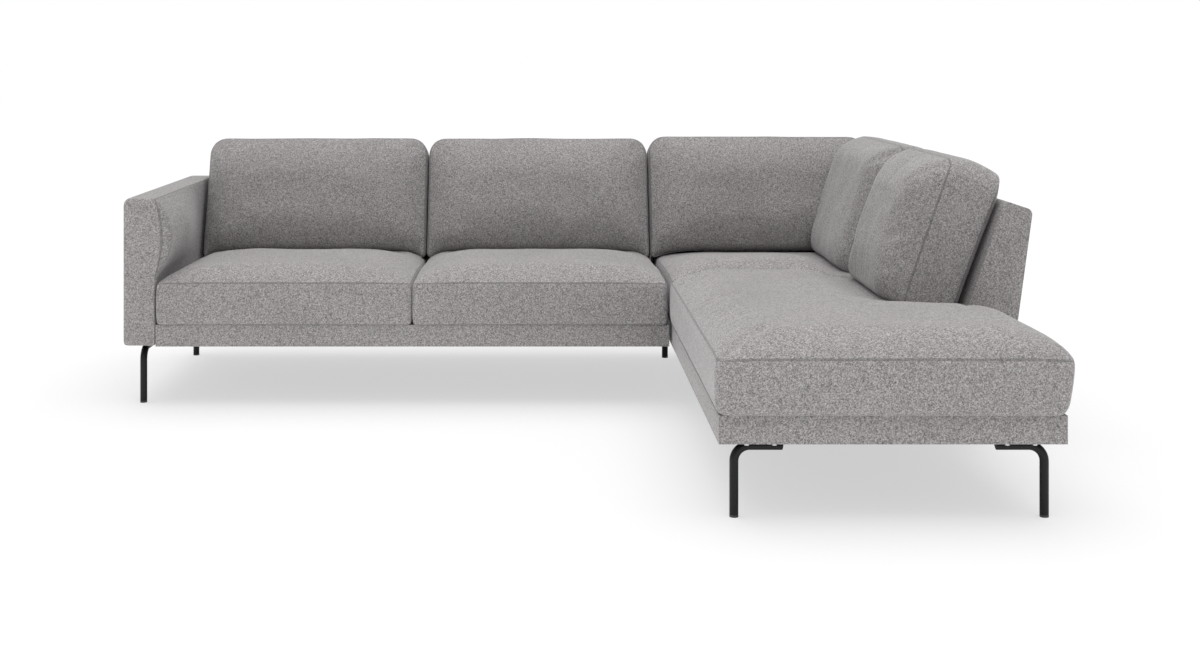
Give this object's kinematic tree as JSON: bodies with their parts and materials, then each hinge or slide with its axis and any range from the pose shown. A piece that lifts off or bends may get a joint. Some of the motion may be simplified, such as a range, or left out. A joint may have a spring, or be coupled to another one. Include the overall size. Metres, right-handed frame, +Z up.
{
  "type": "corner sofa",
  "caption": "Corner sofa in grey woven fabric: a one-armed section hooked to a chaise section, with loose back cushions and slim bent tube legs",
  "frame": {"origin": "middle of the footprint, on the floor", "axes": "+X runs along the sofa towards the chaise side, +Y runs from the seats to the rear back, +Z is up"},
  "size_m": [2.852, 2.2903, 0.8643],
  "materials": {
    "upholstery": "mid warm-grey woven fabric with a fine light and dark fleck",
    "foam": "pale yellow upholstery foam",
    "timber": "sawn softwood and plywood, unfinished",
    "spring_steel": "drawn steel wire",
    "clip_plastic": "matte natural plastic",
    "dust_cloth": "black non-woven cloth",
    "webbing": "black elastic webbing",
    "black_steel": "satin black powder coat",
    "glide_plastic": "matte black plastic",
    "zinc_steel": "zinc-plated steel"
  },
  "bodies": {
    "sofa": {"arm_cover": "upholstery", "arm_frame": "timber", "arm_front_leg": "black_steel", "arm_front_leg_glide": "glide_plastic", "arm_rear_leg": "black_steel", "arm_rear_leg_glide": "glide_plastic", "chaise_base_cover": "upholstery", "chaise_base_frame": "timber", "chaise_bottom_cloth": "dust_cloth", "chaise_left_leg": "black_steel", "chaise_left_leg_glide": "glide_plastic", "chaise_right_leg": "black_steel", "chaise_right_leg_glide": "glide_plastic", "chaise_seat_cover": "upholstery", "chaise_seat_foam": "foam", "chaise_seat_springs": "spring_steel", "chaise_spring_clips": "clip_plastic", "connector_hooks": "zinc_steel", "connector_screws": "zinc_steel", "connector_straps": "zinc_steel", "corner_back_cover": "upholstery", "corner_back_frame": "timber", "corner_back_webbing": "webbing", "corner_inner_leg": "black_steel", "corner_inner_leg_glide": "glide_plastic", "corner_outer_leg": "black_steel", "corner_outer_leg_glide": "glide_plastic", "corner_seat_cover": "upholstery", "corner_seat_foam": "foam", "left_back_cover": "upholstery", "left_back_frame": "timber", "left_back_webbing": "webbing", "left_base_cover": "upholstery", "left_base_frame": "timber", "left_bottom_cloth": "dust_cloth", "left_seat_cover": "upholstery", "left_seat_foam": "foam", "left_seat_springs": "spring_steel", "left_spring_clips": "clip_plastic", "leg_bolts": "zinc_steel", "middle_seat_cover": "upholstery", "middle_seat_foam": "foam", "side_back_cover": "upholstery", "side_back_frame": "timber", "side_back_webbing": "webbing"},
    "left_back_cushion": {"left_back_cushion_cover": "upholstery", "left_back_cushion_filling": "foam"},
    "middle_back_cushion": {"middle_back_cushion_cover": "upholstery", "middle_back_cushion_filling": "foam"},
    "corner_back_cushion": {"corner_back_cushion_cover": "upholstery", "corner_back_cushion_filling": "foam"},
    "front_side_cushion": {"front_side_cushion_cover": "upholstery", "front_side_cushion_filling": "foam"},
    "rear_side_cushion": {"rear_side_cushion_cover": "upholstery", "rear_side_cushion_filling": "foam"}
  },
  "joints": [
    {"name": "left_back_cushion_lift", "type": "slide", "parent": "sofa", "child": "left_back_cushion", "axis": [0, 0.3256, 0.9455], "range_m": [0, 0.6]},
    {"name": "middle_back_cushion_lift", "type": "slide", "parent": "sofa", "child": "middle_back_cushion", "axis": [0, 0.3256, 0.9455], "range_m": [0, 0.6]},
    {"name": "corner_back_cushion_lift", "type": "slide", "parent": "sofa", "child": "corner_back_cushion", "axis": [0, 0.3256, 0.9455], "range_m": [0, 0.6]},
    {"name": "front_side_cushion_lift", "type": "slide", "parent": "sofa", "child": "front_side_cushion", "axis": [0.3256, 0, 0.9455], "range_m": [0, 0.6]},
    {"name": "rear_side_cushion_lift", "type": "slide", "parent": "sofa", "child": "rear_side_cushion", "axis": [0.3256, 0, 0.9455], "range_m": [0, 0.6]}
  ]
}
